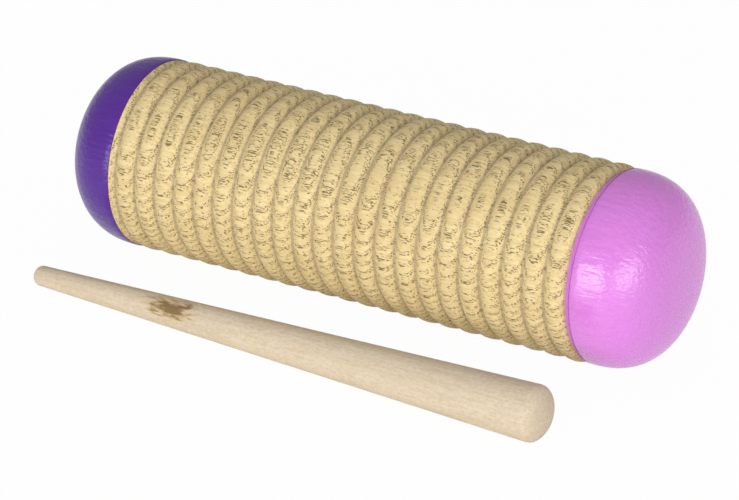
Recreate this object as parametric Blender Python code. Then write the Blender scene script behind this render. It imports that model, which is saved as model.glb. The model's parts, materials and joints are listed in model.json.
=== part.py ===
"""Wooden reco-reco: a ribbed barrel closed by two painted end caps, loose beads inside, and a wooden scraper.

Lengths are metres and +Z is up. The barrel lies along X with its pink cap at +X, and the scraper lies in
front of it, toward -Y. The set stands on z = 0, with the middle of its footprint at the origin.
"""

import math

import bmesh
import bpy
from mathutils import Matrix, Vector

# Barrel: a wooden tube turned outside into ribs and bored through
BARREL_LENGTH = 0.1482
BARREL_RADIUS = 0.0275
WALL_THICKNESS = 0.0075
BORE_MOUTH_CHAMFER = 0.0008
RIB_COUNT = 22
GROOVE_DEPTH = 0.0015
GROOVE_FLOOR_WIDTH = 0.0007
# Plain wood from each end of the barrel to the middle of its first groove
COLLAR_WIDTH = 0.0016

# End caps: turned domes with a spigot glued into the bore. A rim step is a rim's depth below the rib crests
PURPLE_RIM_STEP = 0.0001
PINK_RIM_STEP = 0.0004
CAP_HEIGHT = 0.0207
CAP_ROUNDNESS = 2.5
CAP_RIM_EASE = 0.0009
SPIGOT_LENGTH = 0.0100
SPIGOT_CHAMFER = 0.0012
# Glue lines round the spigot and at the shoulder
SPIGOT_CLEARANCE = 0.0003
SEAM_GAP = 0.0003

# Beads: loose shot that lies in rows along the lowest line of the bore
BEAD_RADIUS = 0.0025
BEAD_CLEARANCE = 0.0003
BEAD_GAP = 0.0010
BEAD_ROW_GAP = 0.0009
MIDDLE_ROW_BEADS = 9

# Scraper: a tapered, round-ended stick that lies on the table beside the barrel
SCRAPER_LENGTH = 0.1717
SCRAPER_THIN_RADIUS = 0.0029
SCRAPER_THICK_RADIUS = 0.0078
SCRAPER_THIN_ROUND = 0.0022
SCRAPER_THICK_ROUND = 0.0041
SCRAPER_TURN = math.radians(-3.5)
# From the barrel's side to the stick's middle, and from the barrel's middle to the stick's, along the barrel
SCRAPER_AWAY = 0.0213
SCRAPER_ALONG = -0.0023

# Facets round each turned piece, and the flats that make up each curve of its outline
BARREL_FACETS = 36
SCRAPER_FACETS = 24
RIB_FLATS = 5
DOME_FLATS = 10
STICK_END_FLATS = 5
BEAD_SUBDIVISIONS = 2
SHARP_ANGLE = math.radians(40)
MERGE_DISTANCE = 1e-6

# Linear colours
BARREL_WOOD = (0.67, 0.52, 0.26)
SCRAPER_WOOD = (0.76, 0.63, 0.45)
PURPLE_PAINT = (0.13, 0.045, 0.31)
PINK_PAINT = (0.80, 0.28, 0.80)
STEEL = (0.56, 0.57, 0.58)


def clear_scene():
    for old in list(bpy.data.objects):
        bpy.data.objects.remove(old)


def finish(name, colour, roughness, metallic=0.0):
    """A plain material of one colour."""
    material = bpy.data.materials.new(name)
    material.use_nodes = True
    shader = material.node_tree.nodes["Principled BSDF"]
    shader.inputs["Base Color"].default_value = (*colour, 1.0)
    shader.inputs["Roughness"].default_value = roughness
    shader.inputs["Metallic"].default_value = metallic
    return material


def add_object(name, mesh, material, parent):
    """Writes a bmesh to a smooth-shaded object that hangs on its parent."""
    data = bpy.data.meshes.new(name)
    mesh.to_mesh(data)
    mesh.free()
    data.materials.append(material)
    data.shade_smooth()
    data.set_sharp_from_angle(angle=SHARP_ANGLE)
    piece = bpy.data.objects.new(name, data)
    bpy.context.scene.collection.objects.link(piece)
    piece.parent = parent
    return piece


def add_empty(name, parent=None):
    empty = bpy.data.objects.new(name, None)
    bpy.context.scene.collection.objects.link(empty)
    empty.parent = parent
    return empty


def turn(outline, facets, closed):
    """Spins an outline of (x, radius) points about X. Facets touch the true radius, and one faces down."""
    mesh = bmesh.new()
    half_facet = math.pi / facets
    to_corner = Matrix.Rotation(half_facet, 3, "X") @ Vector((0.0, 0.0, -1.0 / math.cos(half_facet)))
    points = [mesh.verts.new(Vector((x, 0.0, 0.0)) + radius * to_corner) for x, radius in outline]
    edges = [mesh.edges.new(pair) for pair in zip(points, points[1:])]
    if closed:
        edges.append(mesh.edges.new((points[-1], points[0])))
    bmesh.ops.spin(
        mesh,
        geom=points + edges,
        axis=(1.0, 0.0, 0.0),
        cent=(0.0, 0.0, 0.0),
        angle=2.0 * math.pi,
        steps=facets,
        use_merge=True,
    )
    bmesh.ops.remove_doubles(mesh, verts=mesh.verts, dist=MERGE_DISTANCE)
    bmesh.ops.recalc_face_normals(mesh, faces=mesh.faces)
    return mesh


def bore_radius():
    return BARREL_RADIUS - WALL_THICKNESS


def rib_pitch():
    return (BARREL_LENGTH - 2.0 * COLLAR_WIDTH) / RIB_COUNT


def rib_half_width():
    return (rib_pitch() - GROOVE_FLOOR_WIDTH) / 2.0


def rib_surface(from_crest):
    """Radius of the barrel at a distance from a rib's crest: a rib is one arc between two groove floors."""
    half_width = rib_half_width()
    arc_radius = (half_width**2 + GROOVE_DEPTH**2) / (2.0 * GROOVE_DEPTH)
    drop = arc_radius - math.sqrt(arc_radius**2 - from_crest**2)
    return BARREL_RADIUS - drop


def collar_radius():
    """Radius at the barrel's ends, where the collar is the last bit of one more rib."""
    return rib_surface(rib_pitch() / 2.0 - COLLAR_WIDTH)


def land_radius():
    """Radius of the narrow lands along the crests, on which the barrel rests."""
    return rib_surface(rib_half_width() / RIB_FLATS)


def rib_points(crest):
    """Points across one rib, an odd number of flats, so that the crest is a narrow land."""
    half_width = rib_half_width()
    steps = [2.0 * i / RIB_FLATS - 1.0 for i in range(RIB_FLATS + 1)]
    return [(crest + half_width * step, rib_surface(half_width * step)) for step in steps]


def barrel_outline():
    """The tube's section: over the ribs to +X, and back through the bore."""
    end = BARREL_LENGTH / 2.0
    groove_floor = BARREL_RADIUS - GROOVE_DEPTH
    first_groove = end - COLLAR_WIDTH
    floor_edge = first_groove + GROOVE_FLOOR_WIDTH / 2.0
    bore = bore_radius()
    mouth = bore + BORE_MOUTH_CHAMFER
    collar = [(end, collar_radius()), (floor_edge, groove_floor)]
    outline = [(-x, radius) for x, radius in collar]
    for rib in range(RIB_COUNT):
        outline += rib_points(-first_groove + (rib + 0.5) * rib_pitch())
    outline += reversed(collar)
    outline += [(end, mouth), (end - BORE_MOUTH_CHAMFER, bore)]
    outline += [(-end + BORE_MOUTH_CHAMFER, bore), (-end, mouth)]
    return outline


def build_barrel(parent):
    mesh = turn(barrel_outline(), BARREL_FACETS, closed=True)
    return add_object("ribbed_barrel", mesh, finish("barrel_wood", BARREL_WOOD, 0.6), parent)


def cap_outline(rim_step):
    """Section of one cap, from the pole of its dome at +X to the end face of its spigot."""
    rim_radius = BARREL_RADIUS - rim_step
    shoulder = BARREL_LENGTH / 2.0 + SEAM_GAP
    dome_start = shoulder + CAP_RIM_EASE
    dome_height = CAP_HEIGHT - CAP_RIM_EASE
    power = 2.0 / CAP_ROUNDNESS
    outline = []
    for step in range(DOME_FLATS + 1):
        angle = math.pi / 2.0 * step / DOME_FLATS
        x = dome_start + dome_height * math.cos(angle) ** power
        outline.append((x, rim_radius * math.sin(angle) ** power))
    spigot_radius = bore_radius() - SPIGOT_CLEARANCE
    spigot_end = shoulder - SPIGOT_LENGTH
    outline += [(shoulder, collar_radius()), (shoulder, spigot_radius)]
    outline += [(spigot_end + SPIGOT_CHAMFER, spigot_radius), (spigot_end, spigot_radius - SPIGOT_CHAMFER)]
    outline.append((spigot_end, 0.0))
    return outline


def build_cap(name, rim_step, paint, side, parent):
    """One end cap: side is 1 at the barrel's +X end and -1 at its -X end."""
    outline = [(side * x, radius) for x, radius in cap_outline(rim_step)]
    mesh = turn(outline, BARREL_FACETS, closed=False)
    return add_object(name, mesh, paint, parent)


def build_beads(parent):
    """Three rows of beads, each on an empty of its own, with the side rows nested beside the middle one."""
    steel = finish("bead_steel", STEEL, 0.3, metallic=1.0)
    row_radius = bore_radius() - BEAD_CLEARANCE - BEAD_RADIUS
    row_turn = 2.0 * math.asin((2.0 * BEAD_RADIUS + BEAD_ROW_GAP) / (2.0 * row_radius))
    spacing = 2.0 * BEAD_RADIUS + BEAD_GAP
    side_row_beads = MIDDLE_ROW_BEADS - 1
    rows = [("front", -1, side_row_beads), ("middle", 0, MIDDLE_ROW_BEADS), ("back", 1, side_row_beads)]
    beads = []
    for row_name, place, count in rows:
        row = add_empty(f"bead_row_{row_name}", parent)
        row.location.y = row_radius * math.sin(place * row_turn)
        row.location.z = -row_radius * math.cos(place * row_turn)
        for number in range(count):
            mesh = bmesh.new()
            bmesh.ops.create_icosphere(mesh, subdivisions=BEAD_SUBDIVISIONS, radius=BEAD_RADIUS)
            bead = add_object(f"bead_{row_name}_{number + 1}", mesh, steel, row)
            bead.location.x = (number - (count - 1) / 2.0) * spacing
            beads.append(bead)
    return beads


def scraper_outline():
    """Section of the stick about its own axis, with its middle at 0 and its thin end at -X."""
    half = SCRAPER_LENGTH / 2.0
    thin_base = -half + SCRAPER_THIN_ROUND
    thick_base = half - SCRAPER_THICK_ROUND
    thin = []
    thick = []
    for step in range(STICK_END_FLATS + 1):
        angle = math.pi / 2.0 * step / STICK_END_FLATS
        along, out = math.cos(angle), math.sin(angle)
        thin.append((thin_base - SCRAPER_THIN_ROUND * along, SCRAPER_THIN_RADIUS * out))
        thick.append((thick_base + SCRAPER_THICK_ROUND * along, SCRAPER_THICK_RADIUS * out))
    return thin + thick[::-1]


def build_scraper(parent):
    """The stick lies on the table along its lowest line, so its axis climbs toward the thick end."""
    mesh = turn(scraper_outline(), SCRAPER_FACETS, closed=False)
    piece = add_object("scraper", mesh, finish("scraper_wood", SCRAPER_WOOD, 0.65), parent)
    taper_length = SCRAPER_LENGTH - SCRAPER_THIN_ROUND - SCRAPER_THICK_ROUND
    climb = math.atan((SCRAPER_THICK_RADIUS - SCRAPER_THIN_RADIUS) / taper_length)
    middle_to_thin = SCRAPER_LENGTH / 2.0 - SCRAPER_THIN_ROUND
    middle_radius = SCRAPER_THIN_RADIUS + middle_to_thin * math.tan(climb)
    piece.rotation_euler = (0.0, -climb, SCRAPER_TURN)
    piece.location = (SCRAPER_ALONG, -BARREL_RADIUS - SCRAPER_AWAY, middle_radius * math.cos(climb))
    return piece


def centre_on_table(stand, pieces):
    """Moves the set so that the middle of its footprint is the origin."""
    bpy.context.view_layer.update()
    points = [piece.matrix_world @ vertex.co for piece in pieces for vertex in piece.data.vertices]
    for axis in (0, 1):
        values = [point[axis] for point in points]
        stand.location[axis] = -(min(values) + max(values)) / 2.0


def build_set():
    clear_scene()
    stand = add_empty("table_origin")
    barrel_axis = add_empty("barrel_axis", stand)
    barrel_axis.location.z = land_radius()
    purple = finish("purple_paint", PURPLE_PAINT, 0.3)
    pink = finish("pink_paint", PINK_PAINT, 0.3)
    pieces = [build_barrel(barrel_axis)]
    pieces.append(build_cap("purple_end_cap", PURPLE_RIM_STEP, purple, -1, barrel_axis))
    pieces.append(build_cap("pink_end_cap", PINK_RIM_STEP, pink, 1, barrel_axis))
    pieces += build_beads(barrel_axis)
    pieces.append(build_scraper(stand))
    centre_on_table(stand, pieces)


build_set()
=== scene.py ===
"""Looks of a wooden reco-reco.

A ribbed barrel with a purple and a pink cap, loose beads inside it, and the scraper that lies in front.
"""

import json
import math

import bmesh
import bpy
from mathutils import Matrix, Vector


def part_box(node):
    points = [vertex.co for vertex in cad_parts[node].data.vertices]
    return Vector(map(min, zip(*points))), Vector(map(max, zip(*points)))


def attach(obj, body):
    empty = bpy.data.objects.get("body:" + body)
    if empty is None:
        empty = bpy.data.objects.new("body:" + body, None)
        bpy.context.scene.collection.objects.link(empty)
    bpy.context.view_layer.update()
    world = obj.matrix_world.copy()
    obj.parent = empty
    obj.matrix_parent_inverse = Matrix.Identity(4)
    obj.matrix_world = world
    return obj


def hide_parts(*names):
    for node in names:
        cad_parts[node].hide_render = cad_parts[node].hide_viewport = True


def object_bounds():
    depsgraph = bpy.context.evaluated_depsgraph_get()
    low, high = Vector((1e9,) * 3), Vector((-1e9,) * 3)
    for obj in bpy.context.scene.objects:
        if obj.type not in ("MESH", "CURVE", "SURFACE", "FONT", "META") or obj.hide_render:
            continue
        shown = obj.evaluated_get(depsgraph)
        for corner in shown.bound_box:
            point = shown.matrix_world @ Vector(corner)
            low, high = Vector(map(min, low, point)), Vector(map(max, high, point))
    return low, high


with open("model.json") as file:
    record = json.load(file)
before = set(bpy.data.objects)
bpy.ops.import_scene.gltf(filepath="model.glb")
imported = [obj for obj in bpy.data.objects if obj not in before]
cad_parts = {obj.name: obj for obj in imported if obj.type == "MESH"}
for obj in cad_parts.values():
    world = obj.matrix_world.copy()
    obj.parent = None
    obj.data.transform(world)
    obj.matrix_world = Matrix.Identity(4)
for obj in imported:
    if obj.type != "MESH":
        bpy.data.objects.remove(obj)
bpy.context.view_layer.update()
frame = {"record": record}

# Barrel: pale ring-porous hardwood, turned on a lathe into 22 rounded ribs with narrow grooves between
# them, and bored through. Its surface is bare, with dark pores in bands where the growth rings come out.
RIB_COUNT = 22
COLLAR_WIDTH = 0.0016
GROOVE_DEPTH = 0.0015
GROOVE_FLOOR_WIDTH = 0.0005
WALL_THICKNESS = 0.0075
BORE_MOUTH_CHAMFER = 0.0008
RIB_STEPS = 8
ROUND_STEPS = 256
MERGE_DISTANCE = 1e-6
SHARP_ANGLE = math.radians(40.0)

barrel_low, barrel_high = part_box("ribbed_barrel")
barrel_axis = (barrel_low + barrel_high) / 2.0
barrel_radius = (barrel_high.z - barrel_low.z) / 2.0
barrel_end = barrel_high.x
first_groove = barrel_end - COLLAR_WIDTH
groove_floor = barrel_radius - GROOVE_DEPTH
rib_pitch = (2.0 * barrel_end - 2.0 * COLLAR_WIDTH) / RIB_COUNT
rib_half = (rib_pitch - GROOVE_FLOOR_WIDTH) / 2.0
rib_arc = (rib_half**2 + GROOVE_DEPTH**2) / (2.0 * GROOVE_DEPTH)


def rib_surface(from_crest):
    """Barrel radius at a distance from a rib's crest."""
    return barrel_radius - rib_arc + math.sqrt(rib_arc**2 - from_crest**2)


def barrel_outline():
    """Over the ribs to +X, then back through the bore."""
    floor_edge = first_groove + GROOVE_FLOOR_WIDTH / 2.0
    collar_radius = rib_surface(rib_pitch / 2.0 - COLLAR_WIDTH)
    points = [(-barrel_end, collar_radius), (-floor_edge, groove_floor)]
    for rib in range(RIB_COUNT):
        crest = -first_groove + (rib + 0.5) * rib_pitch
        for step in range(RIB_STEPS + 1):
            across = rib_half * (2.0 * step / RIB_STEPS - 1.0)
            points.append((crest + across, rib_surface(across)))
    bore = barrel_radius - WALL_THICKNESS
    mouth = bore + BORE_MOUTH_CHAMFER
    points += [(floor_edge, groove_floor), (barrel_end, collar_radius), (barrel_end, mouth)]
    points += [(barrel_end - BORE_MOUTH_CHAMFER, bore), (-barrel_end + BORE_MOUTH_CHAMFER, bore)]
    points.append((-barrel_end, mouth))
    return points


def turned(name, outline, closed, centre):
    """A lathe-turned piece: an outline of (x, radius) points spun about X, then put in its place."""
    shape = bmesh.new()
    verts = [shape.verts.new((x, 0.0, -radius)) for x, radius in outline]
    edges = [shape.edges.new(pair) for pair in zip(verts, verts[1:])]
    if closed:
        edges.append(shape.edges.new((verts[-1], verts[0])))
    bmesh.ops.spin(
        shape,
        geom=verts + edges,
        axis=(1.0, 0.0, 0.0),
        cent=(0.0, 0.0, 0.0),
        angle=2.0 * math.pi,
        steps=ROUND_STEPS,
        use_merge=True,
    )
    bmesh.ops.remove_doubles(shape, verts=shape.verts, dist=MERGE_DISTANCE)
    bmesh.ops.recalc_face_normals(shape, faces=shape.faces)
    bmesh.ops.transform(shape, matrix=centre, verts=shape.verts)
    mesh = bpy.data.meshes.new(name)
    shape.to_mesh(mesh)
    shape.free()
    mesh.shade_smooth()
    mesh.set_sharp_from_angle(angle=SHARP_ANGLE)
    piece = bpy.data.objects.new(name, mesh)
    bpy.context.scene.collection.objects.link(piece)
    return piece


# The sockets of the Mix node that carry colours
COLOUR_A = 6
COLOUR_B = 7
COLOUR_RESULT = 2


def new_finish(name, roughness, metallic=0.0):
    """A plain material, with its node tree and its shader."""
    material = bpy.data.materials.new(name)
    material.use_nodes = True
    shader = material.node_tree.nodes["Principled BSDF"]
    shader.inputs["Roughness"].default_value = roughness
    shader.inputs["Metallic"].default_value = metallic
    return material, material.node_tree, shader


def placed(tree, centre, turn, size):
    """Object coordinates about a piece's centre and axes, counted in features of the given size."""
    coordinates = tree.nodes.new("ShaderNodeTexCoord")
    mapping = tree.nodes.new("ShaderNodeMapping")
    mapping.vector_type = "TEXTURE"
    mapping.inputs["Location"].default_value = centre
    mapping.inputs["Rotation"].default_value = turn
    mapping.inputs["Scale"].default_value = size
    tree.links.new(coordinates.outputs["Object"], mapping.inputs["Vector"])
    return mapping.outputs["Vector"]


def noise(tree, centre, turn, size, octaves):
    """Noise whose features have the given size along the piece's own axes."""
    texture = tree.nodes.new("ShaderNodeTexNoise")
    texture.inputs["Scale"].default_value = 1.0
    texture.inputs["Detail"].default_value = octaves
    tree.links.new(placed(tree, centre, turn, size), texture.inputs["Vector"])
    return texture.outputs["Fac"]


def distance_from(tree, centre, turn, size):
    """Distance from a centre, counted in features of the given size."""
    length = tree.nodes.new("ShaderNodeVectorMath")
    length.operation = "LENGTH"
    tree.links.new(placed(tree, centre, turn, size), length.inputs[0])
    return length.outputs["Value"]


def maths(tree, operation, *values):
    """One Math node on sockets and numbers."""
    step = tree.nodes.new("ShaderNodeMath")
    step.operation = operation
    for socket, value in zip(step.inputs, values):
        if isinstance(value, float):
            socket.default_value = value
        else:
            tree.links.new(value, socket)
    return step.outputs["Value"]


def rise(tree, value, low, high):
    """Smoothly 0 to 1 as a value goes from low to high."""
    step = tree.nodes.new("ShaderNodeMapRange")
    step.interpolation_type = "SMOOTHSTEP"
    step.inputs["From Min"].default_value = low
    step.inputs["From Max"].default_value = high
    tree.links.new(value, step.inputs["Value"])
    return step.outputs["Result"]


def mixed(tree, share, first, second):
    """A colour between two, each a tuple or a socket."""
    mix = tree.nodes.new("ShaderNodeMix")
    mix.data_type = "RGBA"
    tree.links.new(share, mix.inputs["Factor"])
    for index, colour in ((COLOUR_A, first), (COLOUR_B, second)):
        if isinstance(colour, tuple):
            mix.inputs[index].default_value = (*colour, 1.0)
        else:
            tree.links.new(colour, mix.inputs[index])
    return mix.outputs[COLOUR_RESULT]


def bump(tree, shader, height, depth, strength):
    """Relief of a real depth in metres."""
    relief = tree.nodes.new("ShaderNodeBump")
    relief.inputs["Strength"].default_value = strength
    relief.inputs["Distance"].default_value = depth
    tree.links.new(height, relief.inputs["Height"])
    tree.links.new(relief.outputs["Normal"], shader.inputs["Normal"])


PALE_WOOD = (0.82, 0.665, 0.345)
TAN_WOOD = (0.70, 0.53, 0.255)
PORE_BROWN = (0.12, 0.072, 0.028)
FLECK_RED = (0.50, 0.20, 0.07)
# Painted shade for the groove floors
GROOVE_SHADE_GREY = (0.36, 0.29, 0.215)
WOOD_ROUGHNESS = 0.62
WOOD_SHINE = 0.35
STRAIGHT = (0.0, 0.0, 0.0)
UNSCALED = (1.0, 1.0, 1.0)
# A size so long that the place along the barrel makes no difference
ANY_LENGTH = 1000.0
# Growth rings, about a pith that lies outside the barrel and leans a little
RING_SPACING = 0.0019
RING_WANDER = 0.9
PITH_BELOW_AXIS = 0.0508
PITH_BEHIND_AXIS = 0.0508
PITH_TURN = (0.0, 0.010, 0.012)
# Features in the grain: their size along and across it, and their octaves of finer detail
WANDER_GRAIN = ((0.060, 0.016, 0.016), 3.0)
PORE_GRAIN = ((0.0034, 0.00027, 0.00027), 0.0)
STRAY_GRAIN = ((0.0024, 0.00036, 0.00036), 1.0)
FIBRE_GRAIN = ((0.020, 0.0008, 0.0008), 3.0)
PATCH_GRAIN = ((0.030, 0.009, 0.009), 2.0)
FLECK_GRAIN = ((0.0022, 0.0010, 0.0010), 1.0)
# Where each feature begins to show and where it shows in full, and how strongly it colours the wood
POROUS_SHOWS = (-0.35, 0.45)
PORE_SHOWS = (0.55, 0.66)
STRAY_SHOWS = (0.65, 0.74)
FIBRE_SHOWS = (0.35, 0.70)
PATCH_SHOWS = (0.40, 0.70)
FLECK_SHOWS = (0.73, 0.78)
PATCH_STRENGTH = 0.5
FLECK_STRENGTH = 0.6
PORE_STRENGTH = 0.82
# How strongly the painted shade darkens the groove floors
GROOVE_SHADE_STRENGTH = 0.60
# Painted shade in a groove, up to this share of its depth
GROOVE_SHADE_RISE = 0.14
# Relief of the fibres against the pores, with its depth in metres and its strength
FIBRE_RELIEF = 0.6
WOOD_RELIEF = (0.00025, 0.6)
# The pink paint laps over the collar at its end, as far as the last groove
PINK_PAINT = (0.71, 0.215, 0.72)
PAINT_EDGE = 0.00015


def barrel_wood():
    """Cream wood with bands of dark pores, short dashes along the grain, and painted shade in the
    grooves.
    """
    material, tree, shader = new_finish("barrel_wood", WOOD_ROUGHNESS)
    shader.inputs["Specular IOR Level"].default_value = WOOD_SHINE
    pith = barrel_axis + Vector((0.0, PITH_BEHIND_AXIS, -PITH_BELOW_AXIS))
    rings = distance_from(tree, pith, PITH_TURN, (ANY_LENGTH, RING_SPACING, RING_SPACING))
    wander = noise(tree, barrel_axis, STRAIGHT, *WANDER_GRAIN)
    phase = maths(tree, "MULTIPLY_ADD", wander, RING_WANDER, rings)
    wave = maths(tree, "SINE", maths(tree, "MULTIPLY", phase, 2.0 * math.pi))
    porous = rise(tree, wave, *POROUS_SHOWS)
    pores = rise(tree, noise(tree, barrel_axis, STRAIGHT, *PORE_GRAIN), *PORE_SHOWS)
    stray = rise(tree, noise(tree, pith, STRAIGHT, *STRAY_GRAIN), *STRAY_SHOWS)
    dark = maths(tree, "MAXIMUM", maths(tree, "MULTIPLY", pores, porous), stray)

    fibres = noise(tree, barrel_axis, STRAIGHT, *FIBRE_GRAIN)
    patches = rise(tree, noise(tree, barrel_axis, STRAIGHT, *PATCH_GRAIN), *PATCH_SHOWS)
    flecks = rise(tree, noise(tree, pith, STRAIGHT, *FLECK_GRAIN), *FLECK_SHOWS)
    wood = mixed(tree, rise(tree, fibres, *FIBRE_SHOWS), PALE_WOOD, TAN_WOOD)
    wood = mixed(tree, maths(tree, "MULTIPLY", patches, PATCH_STRENGTH), wood, TAN_WOOD)
    wood = mixed(tree, maths(tree, "MULTIPLY", flecks, FLECK_STRENGTH), wood, FLECK_RED)
    wood = mixed(tree, maths(tree, "MULTIPLY", dark, PORE_STRENGTH), wood, PORE_BROWN)

    # Painted shade: the colour turns grey-brown near the floor of each groove, where shade falls
    from_axis = distance_from(tree, barrel_axis, STRAIGHT, (ANY_LENGTH, 1.0, 1.0))
    clear = rise(tree, from_axis, groove_floor, groove_floor + GROOVE_SHADE_RISE * GROOVE_DEPTH)
    painted_groove_shade = maths(tree, "MULTIPLY", maths(tree, "SUBTRACT", 1.0, clear), GROOVE_SHADE_STRENGTH)
    wood = mixed(tree, painted_groove_shade, wood, GROOVE_SHADE_GREY)

    along = tree.nodes.new("ShaderNodeSeparateXYZ")
    tree.links.new(placed(tree, barrel_axis, STRAIGHT, UNSCALED), along.inputs["Vector"])
    outside = rise(tree, from_axis, groove_floor - PAINT_EDGE, groove_floor)
    lap = rise(tree, along.outputs["X"], first_groove, first_groove + PAINT_EDGE)
    lap = maths(tree, "MULTIPLY", lap, outside)
    tree.links.new(mixed(tree, lap, wood, PINK_PAINT), shader.inputs["Base Color"])

    height = maths(tree, "MULTIPLY_ADD", dark, -1.0, maths(tree, "MULTIPLY", fibres, FIBRE_RELIEF))
    bump(tree, shader, height, *WOOD_RELIEF)
    return material


barrel = turned("turned_barrel", barrel_outline(), True, Matrix.Translation(barrel_axis))
barrel.data.materials.append(barrel_wood())
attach(barrel, "barrel")
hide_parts("ribbed_barrel")

# End caps: turned wooden domes, dipped in semi-gloss paint through which the grain still shows as faint
# relief. A spigot on each is glued into the bore, and its rim meets the barrel's collar in a fine seam.
CAP_ROUNDNESS = 2.5
CAP_RIM_EASE = 0.0005
CAP_STEPS = 40
SPIGOT_CLEARANCE = 0.0003
SPIGOT_CHAMFER = 0.0012
SEAM = 0.00006
PURPLE_PAINT = (0.086, 0.020, 0.265)
PURPLE_THIN = (0.105, 0.028, 0.300)
PURPLE_SHINE = 0.33
PINK_THIN = (0.64, 0.185, 0.66)
PINK_SHINE = 0.85
# Features in the paint: the grain below it and its own fine peel
CAP_GRAIN = ((0.012, 0.0011, 0.0011), 3.0)
PEEL = ((0.0016, 0.0016, 0.0016), 2.0)
CAP_GRAIN_SHOWS = (0.35, 0.75)
THIN_PAINT_STRENGTH = 0.55
PAINT_ROUGHNESS = 0.20
PEEL_ROUGHNESS = 0.16
PEEL_RELIEF = 0.7
PAINT_RELIEF = (0.00030, 0.70)


def cap_outline(node):
    """From the pole of the dome to the end of the spigot, for a cap at +X."""
    low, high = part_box(node)
    pole = max(abs(low.x), abs(high.x))
    spigot_end = min(abs(low.x), abs(high.x))
    rim_radius = (high.z - low.z) / 2.0
    face = barrel_end + SEAM
    dome_start = face + CAP_RIM_EASE
    power = 2.0 / CAP_ROUNDNESS
    points = []
    for step in range(CAP_STEPS + 1):
        angle = math.pi / 2.0 * step / CAP_STEPS
        x = dome_start + (pole - dome_start) * math.cos(angle) ** power
        points.append((x, rim_radius * math.sin(angle) ** power))
    spigot = barrel_radius - WALL_THICKNESS - SPIGOT_CLEARANCE
    points += [(face, rim_radius - CAP_RIM_EASE / 2.0), (face, spigot)]
    points += [(spigot_end + SPIGOT_CHAMFER, spigot), (spigot_end, spigot - SPIGOT_CHAMFER)]
    points.append((spigot_end, 0.0))
    return points


def cap_paint(name, paint, thin, shine):
    """Semi-gloss paint, a little thinner along the raised grain."""
    material, tree, shader = new_finish(name, PAINT_ROUGHNESS)
    shader.inputs["Specular IOR Level"].default_value = shine
    grain = noise(tree, barrel_axis, STRAIGHT, *CAP_GRAIN)
    peel = noise(tree, barrel_axis, STRAIGHT, *PEEL)
    share = maths(tree, "MULTIPLY", rise(tree, grain, *CAP_GRAIN_SHOWS), THIN_PAINT_STRENGTH)
    tree.links.new(mixed(tree, share, paint, thin), shader.inputs["Base Color"])
    roughness = maths(tree, "MULTIPLY_ADD", peel, PEEL_ROUGHNESS, PAINT_ROUGHNESS)
    tree.links.new(roughness, shader.inputs["Roughness"])
    height = maths(tree, "ADD", grain, maths(tree, "MULTIPLY", peel, PEEL_RELIEF))
    bump(tree, shader, height, *PAINT_RELIEF)
    return material


caps = [
    ("purple", -1, PURPLE_PAINT, PURPLE_THIN, PURPLE_SHINE),
    ("pink", 1, PINK_PAINT, PINK_THIN, PINK_SHINE),
]
for colour, side, paint, thin, shine in caps:
    outline = [(side * x, radius) for x, radius in cap_outline(f"{colour}_end_cap")]
    cap = turned(f"{colour}_dome", outline, False, Matrix.Translation(barrel_axis))
    cap.data.materials.append(cap_paint(f"{colour}_paint", paint, thin, shine))
    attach(cap, "barrel")
    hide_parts(f"{colour}_end_cap")

# Beads: loose steel shot that lies in three rows on the floor of the bore and rattles when the barrel is
# shaken. Each is a plain ground ball with a slightly uneven polish.
BEAD_SUBDIVISIONS = 4
BEAD_STEEL = (0.56, 0.57, 0.58)
BEAD_DULL = (0.42, 0.43, 0.44)
BEAD_POLISH = ((0.0009, 0.0009, 0.0009), 3.0)
BEAD_DULL_SHOWS = (0.35, 0.7)
BEAD_ROUGHNESS = 0.15
BEAD_ROUGHNESS_SPREAD = 0.3
WORLD_ORIGIN = (0.0, 0.0, 0.0)

bead_steel, tree, shader = new_finish("bead_steel", BEAD_ROUGHNESS, metallic=1.0)
polish = noise(tree, WORLD_ORIGIN, STRAIGHT, *BEAD_POLISH)
steel = mixed(tree, rise(tree, polish, *BEAD_DULL_SHOWS), BEAD_STEEL, BEAD_DULL)
tree.links.new(steel, shader.inputs["Base Color"])
roughness = maths(tree, "MULTIPLY_ADD", polish, BEAD_ROUGHNESS_SPREAD, BEAD_ROUGHNESS)
tree.links.new(roughness, shader.inputs["Roughness"])
for body, nodes in frame["record"]["behaviour"]["bodies"].items():
    for node in nodes:
        if not node.startswith("bead_"):
            continue
        low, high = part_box(node)
        radius = (high.z - low.z) / 2.0
        to_place = Matrix.Translation((low + high) / 2.0)
        shape = bmesh.new()
        bmesh.ops.create_icosphere(
            shape,
            subdivisions=BEAD_SUBDIVISIONS,
            radius=radius,
            matrix=to_place,
        )
        mesh = bpy.data.meshes.new(f"ball_{node}")
        shape.to_mesh(mesh)
        shape.free()
        mesh.shade_smooth()
        mesh.materials.append(bead_steel)
        ball = bpy.data.objects.new(f"ball_{node}", mesh)
        bpy.context.scene.collection.objects.link(ball)
        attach(ball, body)
        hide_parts(node)

# Scraper: a tapered stick of pale, close-grained wood, sanded, with rounded ends and one ragged brown
# knot. It lies on the table along its lowest line, a little askew to the barrel.
SCRAPER_LENGTH = 0.1717
SCRAPER_THIN_RADIUS = 0.0029
SCRAPER_THICK_RADIUS = 0.0078
SCRAPER_THIN_ROUND = 0.0022
SCRAPER_THICK_ROUND = 0.0041
SCRAPER_TURN = math.radians(-3.5)
SCRAPER_FROM_AXIS = 0.0488
SCRAPER_ALONG = -0.0023
STICK_END_STEPS = 12

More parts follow.
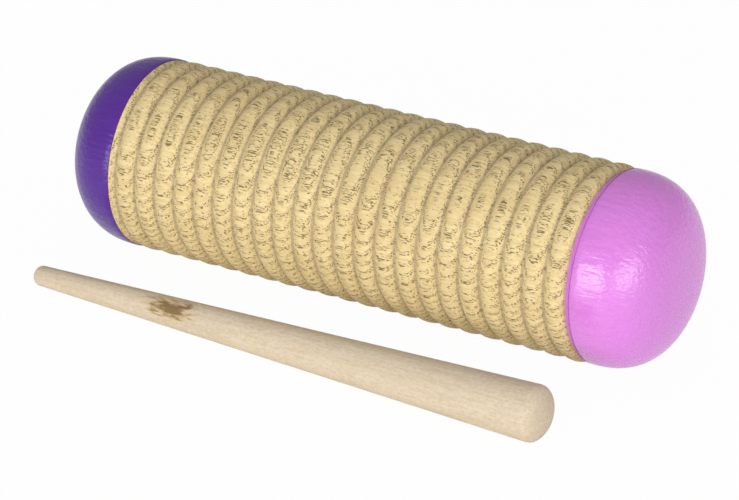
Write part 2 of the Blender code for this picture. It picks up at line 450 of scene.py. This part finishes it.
taper_length = SCRAPER_LENGTH - SCRAPER_THIN_ROUND - SCRAPER_THICK_ROUND
climb = math.atan((SCRAPER_THICK_RADIUS - SCRAPER_THIN_RADIUS) / taper_length)
thin_to_middle = SCRAPER_LENGTH / 2.0 - SCRAPER_THIN_ROUND
middle_radius = SCRAPER_THIN_RADIUS + thin_to_middle * math.tan(climb)
stick_middle = barrel_axis + Vector((SCRAPER_ALONG, -SCRAPER_FROM_AXIS, 0.0))
stick_middle.z = middle_radius * math.cos(climb)
to_stick = Matrix.Translation(stick_middle)
to_stick = to_stick @ Matrix.Rotation(SCRAPER_TURN, 4, "Z") @ Matrix.Rotation(-climb, 4, "Y")


def scraper_outline():
    """Thin round end, straight taper, thick round end, about the stick's own axis."""
    half = SCRAPER_LENGTH / 2.0
    thin_end = []
    thick_end = []
    for step in range(STICK_END_STEPS + 1):
        angle = math.pi / 2.0 * step / STICK_END_STEPS
        drop = 1.0 - math.cos(angle)
        out = math.sin(angle)
        thin_end.append((-half + SCRAPER_THIN_ROUND * drop, SCRAPER_THIN_RADIUS * out))
        thick_end.append((half - SCRAPER_THICK_ROUND * drop, SCRAPER_THICK_RADIUS * out))
    return thin_end + thick_end[::-1]


STICK_PALE = (0.71, 0.60, 0.445)
STICK_TAN = (0.60, 0.48, 0.335)
KNOT_BROWN = (0.19, 0.11, 0.04)
KNOT_GOLD = (0.50, 0.34, 0.11)
STICK_ROUGHNESS = 0.68
STICK_SHINE = 0.3
# Features in the stick's grain
STICK_FIBRE = ((0.016, 0.00055, 0.00055), 3.0)
STICK_CLOUD = ((0.035, 0.005, 0.005), 2.0)
STICK_FLECK = ((0.0020, 0.00035, 0.00035), 1.0)
STICK_MOTTLE = ((0.0012, 0.0006, 0.0006), 2.0)
KNOT_RAGGED = ((0.0040, 0.0010, 0.0010), 4.0)
STREAK_SHOWS = (0.35, 0.70)
CLOUD_SHOWS = (0.45, 0.75)
STICK_FLECK_SHOWS = (0.62, 0.72)
FIBRE_SHARE = 0.45
MOTTLE_SHARE = 0.55
CLOUD_STRENGTH = 0.4
STICK_FLECK_STRENGTH = 0.12
# The knot: its place along and round the stick, its reach, and where its brown and its gold fade out
KNOT_ALONG = -0.0353
KNOT_TURN = math.radians(45.0)
KNOT_SIZE = (0.0080, 0.0032, 0.0032)
KNOT_RAGGEDNESS = 2.6
KNOT_FADES = (1.65, 2.30)
HALO_FADES = (1.75, 2.75)
KNOT_STRENGTH = 0.85
HALO_STRENGTH = 0.65
STICK_RELIEF = (0.00012, 0.5)


def scraper_wood():
    """Pale beige wood with fine fibres along the stick and a ragged knot with a golden edge."""
    material, tree, shader = new_finish("scraper_wood", STICK_ROUGHNESS)
    shader.inputs["Specular IOR Level"].default_value = STICK_SHINE
    turn = (0.0, -climb, SCRAPER_TURN)
    knot_out = middle_radius + KNOT_ALONG * math.tan(climb)
    knot_round = (-knot_out * math.cos(KNOT_TURN), knot_out * math.sin(KNOT_TURN))
    knot = to_stick @ Vector((KNOT_ALONG, *knot_round))

    fibres = noise(tree, stick_middle, turn, *STICK_FIBRE)
    mottle = noise(tree, stick_middle, turn, *STICK_MOTTLE)
    fibre_part = maths(tree, "MULTIPLY", fibres, FIBRE_SHARE)
    streaks = maths(tree, "ADD", fibre_part, maths(tree, "MULTIPLY", mottle, MOTTLE_SHARE))
    clouds = rise(tree, noise(tree, stick_middle, turn, *STICK_CLOUD), *CLOUD_SHOWS)
    flecks = rise(tree, noise(tree, knot, turn, *STICK_FLECK), *STICK_FLECK_SHOWS)
    wood = mixed(tree, rise(tree, streaks, *STREAK_SHOWS), STICK_PALE, STICK_TAN)
    wood = mixed(tree, maths(tree, "MULTIPLY", clouds, CLOUD_STRENGTH), wood, STICK_TAN)
    wood = mixed(tree, maths(tree, "MULTIPLY", flecks, STICK_FLECK_STRENGTH), wood, KNOT_BROWN)

    ragged = noise(tree, knot, turn, *KNOT_RAGGED)
    from_knot = distance_from(tree, knot, turn, KNOT_SIZE)
    edge = maths(tree, "MULTIPLY_ADD", ragged, KNOT_RAGGEDNESS, from_knot)
    halo = maths(tree, "SUBTRACT", 1.0, rise(tree, edge, *HALO_FADES))
    brown = maths(tree, "SUBTRACT", 1.0, rise(tree, edge, *KNOT_FADES))
    wood = mixed(tree, maths(tree, "MULTIPLY", halo, HALO_STRENGTH), wood, KNOT_GOLD)
    wood = mixed(tree, maths(tree, "MULTIPLY", brown, KNOT_STRENGTH), wood, KNOT_BROWN)
    tree.links.new(wood, shader.inputs["Base Color"])
    bump(tree, shader, maths(tree, "SUBTRACT", fibres, brown), *STICK_RELIEF)
    return material


stick = turned("scraper_stick", scraper_outline(), False, to_stick)
stick.data.materials.append(scraper_wood())
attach(stick, "scraper")
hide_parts("scraper")

# Floor: a plain matt sheet that the set lies on. It shows near white to the camera and in reflections,
# and still keeps the soft shadows under the pieces.
FLOOR_HALF = 3.0
FLOOR_COLOUR = (0.95, 0.95, 0.95)
FLOOR_ROUGHNESS = 0.9
FLOOR_WHITENESS = 0.975
# The sockets of the Mix Shader node that take its two shaders
SHADER_A = 1
SHADER_B = 2

shape = bmesh.new()
bmesh.ops.create_grid(shape, x_segments=1, y_segments=1, size=FLOOR_HALF)
bmesh.ops.translate(shape, verts=shape.verts, vec=(0.0, 0.0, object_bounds()[0].z))
mesh = bpy.data.meshes.new("floor")
shape.to_mesh(mesh)
shape.free()
floor = bpy.data.objects.new("floor", mesh)
bpy.context.scene.collection.objects.link(floor)
floor_finish, tree, shader = new_finish("floor", FLOOR_ROUGHNESS)
shader.inputs["Base Color"].default_value = (*FLOOR_COLOUR, 1.0)
shader.inputs["Specular IOR Level"].default_value = 0.0
path = tree.nodes.new("ShaderNodeLightPath")
glow = tree.nodes.new("ShaderNodeEmission")
blend = tree.nodes.new("ShaderNodeMixShader")
seen = maths(tree, "MAXIMUM", path.outputs["Is Camera Ray"], path.outputs["Is Glossy Ray"])
tree.links.new(maths(tree, "MULTIPLY", seen, FLOOR_WHITENESS), blend.inputs["Fac"])
tree.links.new(shader.outputs["BSDF"], blend.inputs[SHADER_A])
tree.links.new(glow.outputs["Emission"], blend.inputs[SHADER_B])
tree.links.new(blend.outputs["Shader"], tree.nodes["Material Output"].inputs["Surface"])
mesh.materials.append(floor_finish)

# Lights: an even pale surround, a wide soft lamp low in front of the barrel, and another like it towards
# the pink end. Together they put one broad highlight on the pink dome.
WORLD_LIGHT = 0.50
FRONT_POWER = 14.3
FRONT_PLACE = (-0.05, -1.45, 0.14)
END_POWER = 9.4
END_PLACE = (1.35, -0.75, 0.20)
LAMP_WIDTH = 1.15
LAMP_HEIGHT = 0.50


def add_lamp(name, power, place):
    """A wide soft lamp that faces the barrel."""
    lamp = bpy.data.lights.new(name, "AREA")
    lamp.energy = power
    lamp.shape = "RECTANGLE"
    lamp.size = LAMP_WIDTH
    lamp.size_y = LAMP_HEIGHT
    holder = bpy.data.objects.new(name, lamp)
    holder.location = place
    holder.rotation_euler = (Vector(place) - barrel_axis).to_track_quat("Z", "Y").to_euler()
    bpy.context.scene.collection.objects.link(holder)


add_lamp("front_lamp", FRONT_POWER, FRONT_PLACE)
add_lamp("end_lamp", END_POWER, END_PLACE)
world = bpy.data.worlds.new("surround")
bpy.context.scene.world = world
world.use_nodes = True
tree = world.node_tree
path = tree.nodes.new("ShaderNodeLightPath")
strength = maths(tree, "MULTIPLY_ADD", path.outputs["Is Camera Ray"], 1.0 - WORLD_LIGHT, WORLD_LIGHT)
background = tree.nodes["Background"]
background.inputs["Color"].default_value = (1.0, 1.0, 1.0, 1.0)
tree.links.new(strength, background.inputs["Strength"])
bpy.context.scene.view_settings.view_transform = "Standard"

# Camera: a long lens about a metre away that looks down along the set from the pink end, as the
# photograph was taken.
CAMERA_AZIMUTH = math.radians(31.78)
CAMERA_ELEVATION = math.radians(24.43)
CAMERA_DISTANCE = 1.0704
AIM_RIGHT = -0.00355
AIM_UP = -0.01172
CAMERA_LENS = 187.5

back = Vector((
    math.sin(CAMERA_AZIMUTH) * math.cos(CAMERA_ELEVATION),
    -math.cos(CAMERA_AZIMUTH) * math.cos(CAMERA_ELEVATION),
    math.sin(CAMERA_ELEVATION),
))
right = Vector((math.cos(CAMERA_AZIMUTH), math.sin(CAMERA_AZIMUTH), 0.0))
up = back.cross(right)
eye = barrel_axis + right * AIM_RIGHT + up * AIM_UP + back * CAMERA_DISTANCE
camera_data = bpy.data.cameras.new("camera")
camera_data.lens = CAMERA_LENS
camera = bpy.data.objects.new("camera", camera_data)
camera.matrix_world = Matrix.Translation(eye) @ Matrix((right, up, back)).transposed().to_4x4()
bpy.context.scene.collection.objects.link(camera)
bpy.context.scene.camera = camera
